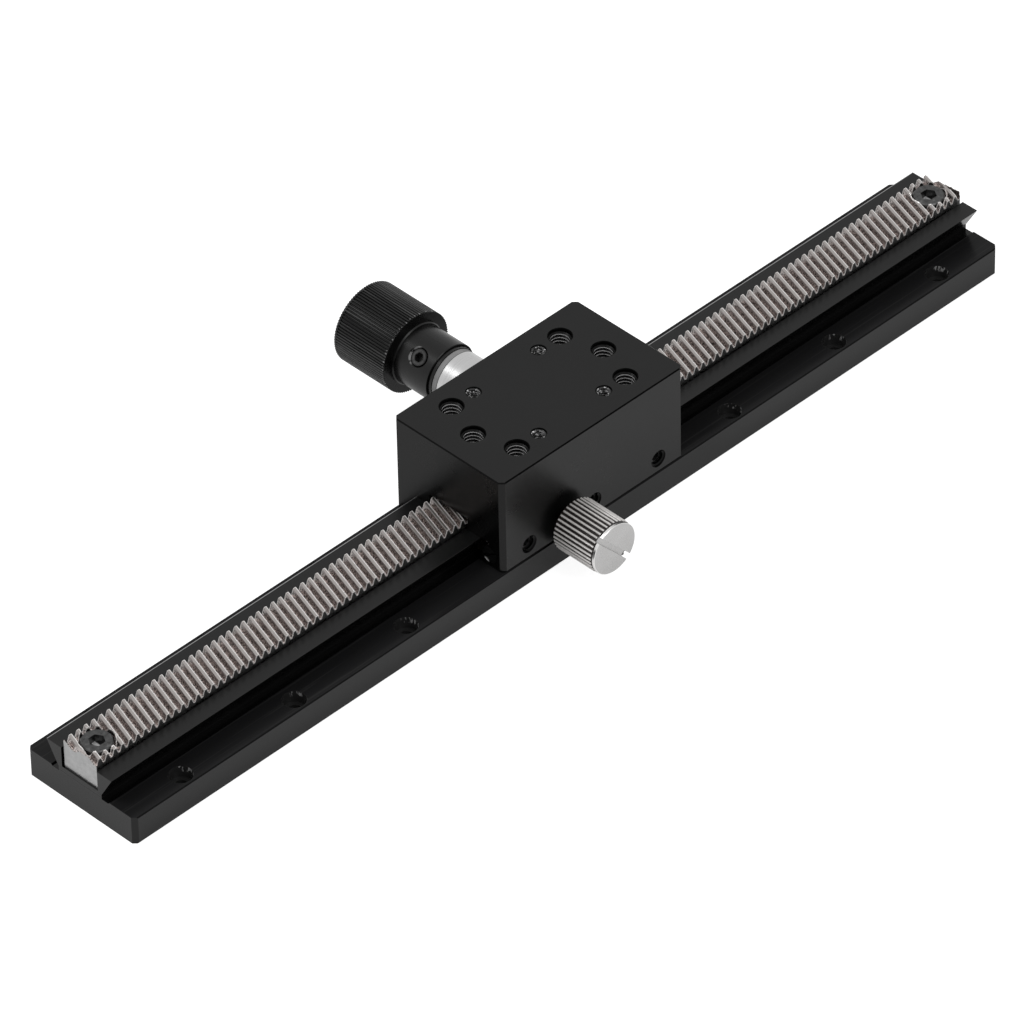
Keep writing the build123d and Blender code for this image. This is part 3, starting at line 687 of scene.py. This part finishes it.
def rack_edges():
    """Thin edges that the cutter left on every tooth's crest, coloured as painted highlights: bright on
    its right, duller on its left.
    """
    vertices, faces, dull = [], [], []
    half = 0.08 * MM
    bottom = RACK_TOP - 0.14 * MM
    top = RACK_TOP + 0.012 * MM
    off_middle = TIP_HALF + 0.02 * MM
    shortest = 0.2 * MM
    limit = RACK_END - RACK_END_CHAMFER - half
    for i in range(-TOOTH_COUNT, TOOTH_COUNT + 1):
        for side in (-1, 1):
            line = CREST_OFFSET + i * PITCH + side * off_middle
            low = max(-RACK_HALF_WIDTH, (-limit - line) / HELIX_SLOPE)
            high = min(RACK_HALF_WIDTH, (limit - line) / HELIX_SLOPE)
            if high - low < shortest:
                continue
            for stretch in clear_of_bores(line, low, high):
                rings = []
                for y in stretch:
                    x = line + y * HELIX_SLOPE
                    rings.append([(x - half, y, bottom), (x + half, y, bottom),
                                  (x + half, y, top), (x - half, y, top)])
                before = len(faces)
                add_prism(vertices, faces, *rings)
                if side < 0:
                    dull += range(before, len(faces))
    new_piece("rack_crest_edges", vertices, faces, edge_steel, "rail",
              dull, dull_edge_steel)


def rack_end_edges():
    """Zigzag edges where the teeth end at the rack's two sides, bright as a painted highlight."""
    vertices, faces = [], []
    half = 0.065 * MM
    proud = 0.7 * half
    for side in (-1, 1):
        y = side * RACK_HALF_WIDTH
        for i in range(-TOOTH_COUNT, TOOTH_COUNT + 1):
            crest = CREST_OFFSET + i * PITCH + y * HELIX_SLOPE
            if abs(crest) > RACK_END - PITCH / 2:
                continue
            zigzag = ((crest - ROOT_HALF, TOOTH_ROOT), (crest - TIP_HALF, RACK_TOP),
                      (crest + TIP_HALF, RACK_TOP), (crest + ROOT_HALF, TOOTH_ROOT),
                      (crest - ROOT_HALF + PITCH, TOOTH_ROOT))
            for start, end in zip(zigzag, zigzag[1:]):
                run = Vector((end[0] - start[0], end[1] - start[1])).normalized()
                rings = []
                for x, z in (start, end):
                    rings.append([(x - across * run.y, y + along, z + across * run.x)
                                  for across, along in corners(half, proud)])
                add_prism(vertices, faces, *rings)
    new_piece("rack_side_edges", vertices, faces, edge_steel, "rail")


def tooth_height(x, y):
    """Height of the rack's teeth over a place in plan."""
    off = (x - CREST_OFFSET - y * HELIX_SLOPE + PITCH / 2) % PITCH - PITCH / 2
    share = (ROOT_HALF - abs(off)) / (ROOT_HALF - TIP_HALF)
    return RACK_TOP - TOOTH_DEPTH * (1 - min(1.0, max(0.0, share)))


def rack_bore_edges():
    """The uneven burr that the screws' counterbores left where they cut through the teeth, bright as a
    painted highlight.
    """
    vertices, faces = [], []
    draw = random.Random(7)
    steps = 150
    for side in (-1, 1):
        last = None
        for i in range(steps + 1):
            angle = 2 * math.pi * i / steps
            out = Vector((math.cos(angle), math.sin(angle), 0))
            place = Vector((side * RACK_SCREW_X, 0, 0)) + RACK_BORE_RADIUS * out
            place.z = tooth_height(place.x, place.y)
            half = draw.uniform(0.04, 0.11) * MM
            lift = draw.uniform(0.0, 0.15) * MM
            outline = ((half, -half), (-half, -half), (-half, half + lift), (half, half))
            ring = [place + across * out + Vector((0, 0, rise)) for across, rise in outline]
            on_rack = abs(place.y) < RACK_HALF_WIDTH and abs(place.x) < RACK_END
            if on_rack and last:
                add_prism(vertices, faces, last, ring)
            last = ring if on_rack else None
    new_piece("rack_bore_edges", vertices, faces, edge_steel, "rail")


def rack_end_lip():
    """A thin torn burr along the rack's right end, low enough to pass under the carriage."""
    vertices, faces = [], []
    draw = random.Random(11)
    x = RACK_END - 0.12 * MM
    start = -RACK_HALF_WIDTH + 0.05 * MM
    length = 3.3 * MM
    foot_half = 0.05 * MM
    top_half = 0.03 * MM
    steps = 14
    last = None
    for i in range(steps + 1):
        share = i / steps
        y = start + share * length
        top = RACK_TOP + (0.4 - 0.2 * share + draw.uniform(-0.08, 0.05)) * MM
        lean = draw.uniform(-0.03, 0.03) * MM
        foot = tooth_height(x, y) - 0.1 * MM
        ring = [Vector((x - foot_half, y, foot)), Vector((x + foot_half, y, foot)),
                Vector((x + top_half + lean, y, top)), Vector((x - top_half + lean, y, top))]
        if last:
            add_prism(vertices, faces, last, ring)
        last = ring
    new_piece("rack_end_lip", vertices, faces, lip_steel, "rail")


def add_thread(vertices, faces, crests, mouth, inward, diameter, pitch, length, lead):
    """A helical ridge inside a tapped hole, from its mouth inwards: flat crest, slanting flanks."""
    axis = Vector(inward)
    side = axis.orthogonal().normalized()
    other = axis.cross(side)
    outer = diameter / 2 - 2 * SKIN
    inner = diameter / 2 - THREAD_DEPTH * pitch
    profile = ((outer, -THREAD_ROOT * pitch), (inner, -THREAD_CREST * pitch),
               (inner, THREAD_CREST * pitch), (outer, THREAD_ROOT * pitch))
    size = len(profile)
    first = len(vertices)
    start = pitch / 2 + lead
    rings = int((length - start - pitch / 2) / pitch * THREAD_STEPS)
    for i in range(rings + 1):
        angle = 2 * math.pi * i / THREAD_STEPS
        out = math.cos(angle) * side + math.sin(angle) * other
        for r, shift in profile:
            depth = start + pitch * i / THREAD_STEPS + shift
            vertices.append(Vector(mouth) + r * out + depth * axis)
    for i in range(rings):
        crests.append(len(faces) + 1)
        add_band(faces, first + size * i, first + size * (i + 1), size)
    faces.append([first + j for j in range(size)])
    faces.append([first + size * rings + j for j in reversed(range(size))])


def on_carriage(places):
    """Mouths of holes in the carriage's top, from their places about its middle."""
    return [(CARRIAGE_X + x, y, CARRIAGE_TOP) for x, y in places]


def threads():
    """The cut threads of the carriage's tapped holes."""
    m4 = on_carriage(corners(*M4_HALVES) + [(-M4_PAIR_X, 0), (M4_PAIR_X, 0)])
    m25 = on_carriage(corners(*M25_HALVES))
    gib = [(CARRIAGE_X + i * GIB_SCREW_PITCH, -CARRIAGE_SIDE, GIB_SCREW_Z) for i in (-1, 0, 1)]
    down = (0, 0, -1)
    back = (0, 1, 0)
    # Piece, mouths, way in, then diameter, pitch, length and lead-in in millimetres, and two finishes
    for name, mouths, inward, sizes, flank_finish, crest_finish in (
            ("m4_threads", m4, down, (4.0, 0.7, 8.0, 0.3), thread_black, thread_metal),
            ("m25_threads", m25, down, (2.5, 0.45, 6.0, 0.0), ragged_black, fine_thread_metal),
            ("gib_hole_threads", gib, back, (3.0, 0.5, 0.85, 0.06), thread_black, None)):
        vertices, faces, crests = [], [], []
        for mouth in mouths:
            add_thread(vertices, faces, crests, mouth, inward, *scaled(sizes, MM))
        new_piece(name, vertices, faces, flank_finish, "carriage",
                  crests, crest_finish)


def knob_end_rim():
    """The narrow smooth rim that closes the knob's ridges at its far end."""
    outer = KNOB_RADIUS - SKIN
    inner = outer - KNOB_RIM_DEPTH
    near = KNOB_END - KNOB_RIM_LENGTH
    far = KNOB_END - SKIN
    profile = ((inner, near), (outer, near), (outer, far - KNOB_RIM_BREAK),
               (outer - KNOB_RIM_BREAK, far), (inner, far))
    size = len(profile)
    vertices, faces = [], []
    for i in range(KNOB_RIM_STEPS):
        angle = 2 * math.pi * i / KNOB_RIM_STEPS
        vertices += [about_axis(KNOB_AXIS, r, angle, y) for r, y in profile]
        after = (i + 1) % KNOB_RIM_STEPS
        add_band(faces, size * i, size * after, size)
    new_piece("knob_end_rim", vertices, faces, black_knob, "pinion")


def clamp_profile():
    """The thumb screw's stations from shank to face: the distance from the head's base, the most that the
    radius may be there, and whether it has ridges."""
    shank = CLAMP_FACE_Y + CLAMP_HEAD_LENGTH - CLAMP_SHANK_Y
    start = CLAMP_CREST - CLAMP_RIDGE_DEPTH + CLAMP_RIDGE_START
    rim = CLAMP_HEAD_LENGTH - CLAMP_RIM_LENGTH
    groove = rim - CLAMP_GROOVE_LENGTH
    bead = groove - CLAMP_BEAD
    stations = [(shank, CLAMP_SHANK, False), (0.0, CLAMP_SHANK, False), (0.0, start, True),
                (CLAMP_RIDGE_RISE, CLAMP_CREST, True), (bead, CLAMP_CREST, True)]
    for i in range(1, CLAMP_BEAD_STEPS + 1):
        turn = math.pi / 2 * i / CLAMP_BEAD_STEPS
        inset = CLAMP_BEAD * (1 - math.cos(turn))
        stations.append((bead + CLAMP_BEAD * math.sin(turn), CLAMP_CREST - inset, True))
    stations += [(groove, CLAMP_GROOVE, False), (rim, CLAMP_GROOVE, False), (rim, CLAMP_RIM, False),
                 (CLAMP_HEAD_LENGTH - CLAMP_RIM_BREAK, CLAMP_RIM, False),
                 (CLAMP_HEAD_LENGTH, CLAMP_RIM - CLAMP_RIM_BREAK, False)]
    return stations


def clamp_thumb_screw():
    """The thumb screw: rounded ridges with beaded ends, a groove, a rim, and a slot across its face."""
    vertices, faces = [], []
    base_y = CLAMP_FACE_Y + CLAMP_HEAD_LENGTH
    valley = CLAMP_CREST - CLAMP_RIDGE_DEPTH
    stations = clamp_profile()
    size = CLAMP_RIDGES * CLAMP_RIDGE_STEPS
    for along, most, ridged in stations:
        for i in range(size):
            angle = 2 * math.pi * i / size
            wave = 0.5 + 0.5 * math.cos(CLAMP_RIDGES * angle)
            ridge = valley + CLAMP_RIDGE_DEPTH * wave ** CLAMP_RIDGE_SHARPNESS
            r = min(most, ridge) if ridged else most
            vertices.append(about_axis(CLAMP_AXIS, r, angle, base_y - along))
    last = len(stations) - 1
    for ring in range(last):
        add_band(faces, size * ring, size * (ring + 1), size)
    faces.append(list(range(size)))
    faces.append([size * last + i for i in reversed(range(size))])
    piece = new_piece("clamp_thumb_screw", vertices, faces, nickel, "clamp_screw")
    cut_away(piece, *clamp_slot_rings())
    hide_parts("clamp_screw")


def clamp_slot_rings():
    """The ends of a bar that fills the slot and reaches past the head's face and its crests."""
    x, z = CLAMP_AXIS
    cos, sin = math.cos(CLAMP_SLOT_ANGLE), math.sin(CLAMP_SLOT_ANGLE)
    outline = corners(1.2 * CLAMP_CREST, CLAMP_SLOT / 2)
    rings = []
    for y in (CLAMP_FACE_Y - CLAMP_SLOT, CLAMP_FACE_Y + CLAMP_SLOT):
        rings.append([(x + along * cos - across * sin, y, z + along * sin + across * cos)
                      for along, across in outline])
    return rings


def cut_away(piece, start, end):
    """Cuts the bar between two rings of corners out of a piece."""
    vertices, faces = [], []
    add_prism(vertices, faces, start, end)
    cutter = solid_object("cutter", vertices, faces)
    cut = piece.modifiers.new("cut", "BOOLEAN")
    cut.operation = "DIFFERENCE"
    cut.solver = "EXACT"
    cut.object = cutter
    whole = piece.evaluated_get(bpy.context.evaluated_depsgraph_get())
    result = bpy.data.meshes.new_from_object(whole)
    piece.modifiers.clear()
    piece.data = result
    bpy.data.objects.remove(cutter)


def fed_node(tree, kind, *outputs):
    """A new node whose first sockets take these outputs."""
    node = tree.nodes.new(kind)
    for socket, output in zip(node.inputs, outputs):
        tree.links.new(output, socket)
    return node


def make_stage():
    """Pale floor that reads as white to the camera and pale in reflections, and keeps the shadow."""
    mesh = bpy.data.meshes.new("floor")
    vertices = [(x, y, FLOOR_LEVEL) for x, y in corners(FLOOR_HALF, FLOOR_HALF)]
    mesh.from_pydata(vertices, [], [(0, 1, 2, 3)])
    floor = bpy.data.objects.new("floor", mesh)
    bpy.context.scene.collection.objects.link(floor)
    material = bpy.data.materials.new("floor_white")
    material.use_nodes = True
    tree = material.node_tree
    tree.nodes.clear()
    path = tree.nodes.new("ShaderNodeLightPath")
    seen = []
    for ray, strength in (("Is Camera Ray", FLOOR_SEEN), ("Is Glossy Ray", FLOOR_MIRRORED)):
        part = fed_node(tree, "ShaderNodeMath", path.outputs[ray])
        part.operation = "MULTIPLY"
        part.inputs[1].default_value = strength
        seen.append(part.outputs[0])
    total = fed_node(tree, "ShaderNodeMath", *seen)
    total.operation = "ADD"
    glow = tree.nodes.new("ShaderNodeEmission")
    tree.links.new(total.outputs[0], glow.inputs["Strength"])
    matte = tree.nodes.new("ShaderNodeBsdfDiffuse")
    matte.inputs["Color"].default_value = (*grey(FLOOR_SHADE), 1)
    both = fed_node(tree, "ShaderNodeAddShader", matte.outputs[0], glow.outputs[0])
    fed_node(tree, "ShaderNodeOutputMaterial", both.outputs[0])
    mesh.materials.append(material)


def make_world():
    """Even pale surroundings, brighter where the camera or a mirroring surface looks past the floor."""
    world = bpy.data.worlds.new("studio")
    bpy.context.scene.world = world
    world.use_nodes = True
    tree = world.node_tree
    tree.nodes.clear()
    path = tree.nodes.new("ShaderNodeLightPath")
    rays = [path.outputs[ray] for ray in ("Is Camera Ray", "Is Glossy Ray")]
    seen = fed_node(tree, "ShaderNodeMath", *rays)
    seen.operation = "MAXIMUM"
    shades = []
    for strength in (WORLD_LIGHT, WORLD_SEEN):
        shade = tree.nodes.new("ShaderNodeBackground")
        shade.inputs["Strength"].default_value = strength
        shades.append(shade.outputs[0])
    mix = fed_node(tree, "ShaderNodeMixShader", seen.outputs[0], *shades)
    fed_node(tree, "ShaderNodeOutputWorld", mix.outputs[0])


def soft_light(name, where, size, power):
    """A round lamp that shines at the rail's middle."""
    data = bpy.data.lights.new(name, "AREA")
    data.shape = "DISK"
    data.size = size
    data.energy = power
    lamp = bpy.data.objects.new(name, data)
    lamp.location = where
    lamp.rotation_euler = (-Vector(where)).to_track_quat("-Z", "Y").to_euler()
    bpy.context.scene.collection.objects.link(lamp)


place_camera()
make_stage()
make_world()
for lamp in LAMPS:
    soft_light(*lamp)
bpy.context.scene.view_settings.view_transform = "Standard"
dress_nodes()
rack_edges()
rack_end_edges()
rack_bore_edges()
rack_end_lip()
threads()
knob_end_rim()
clamp_thumb_screw()
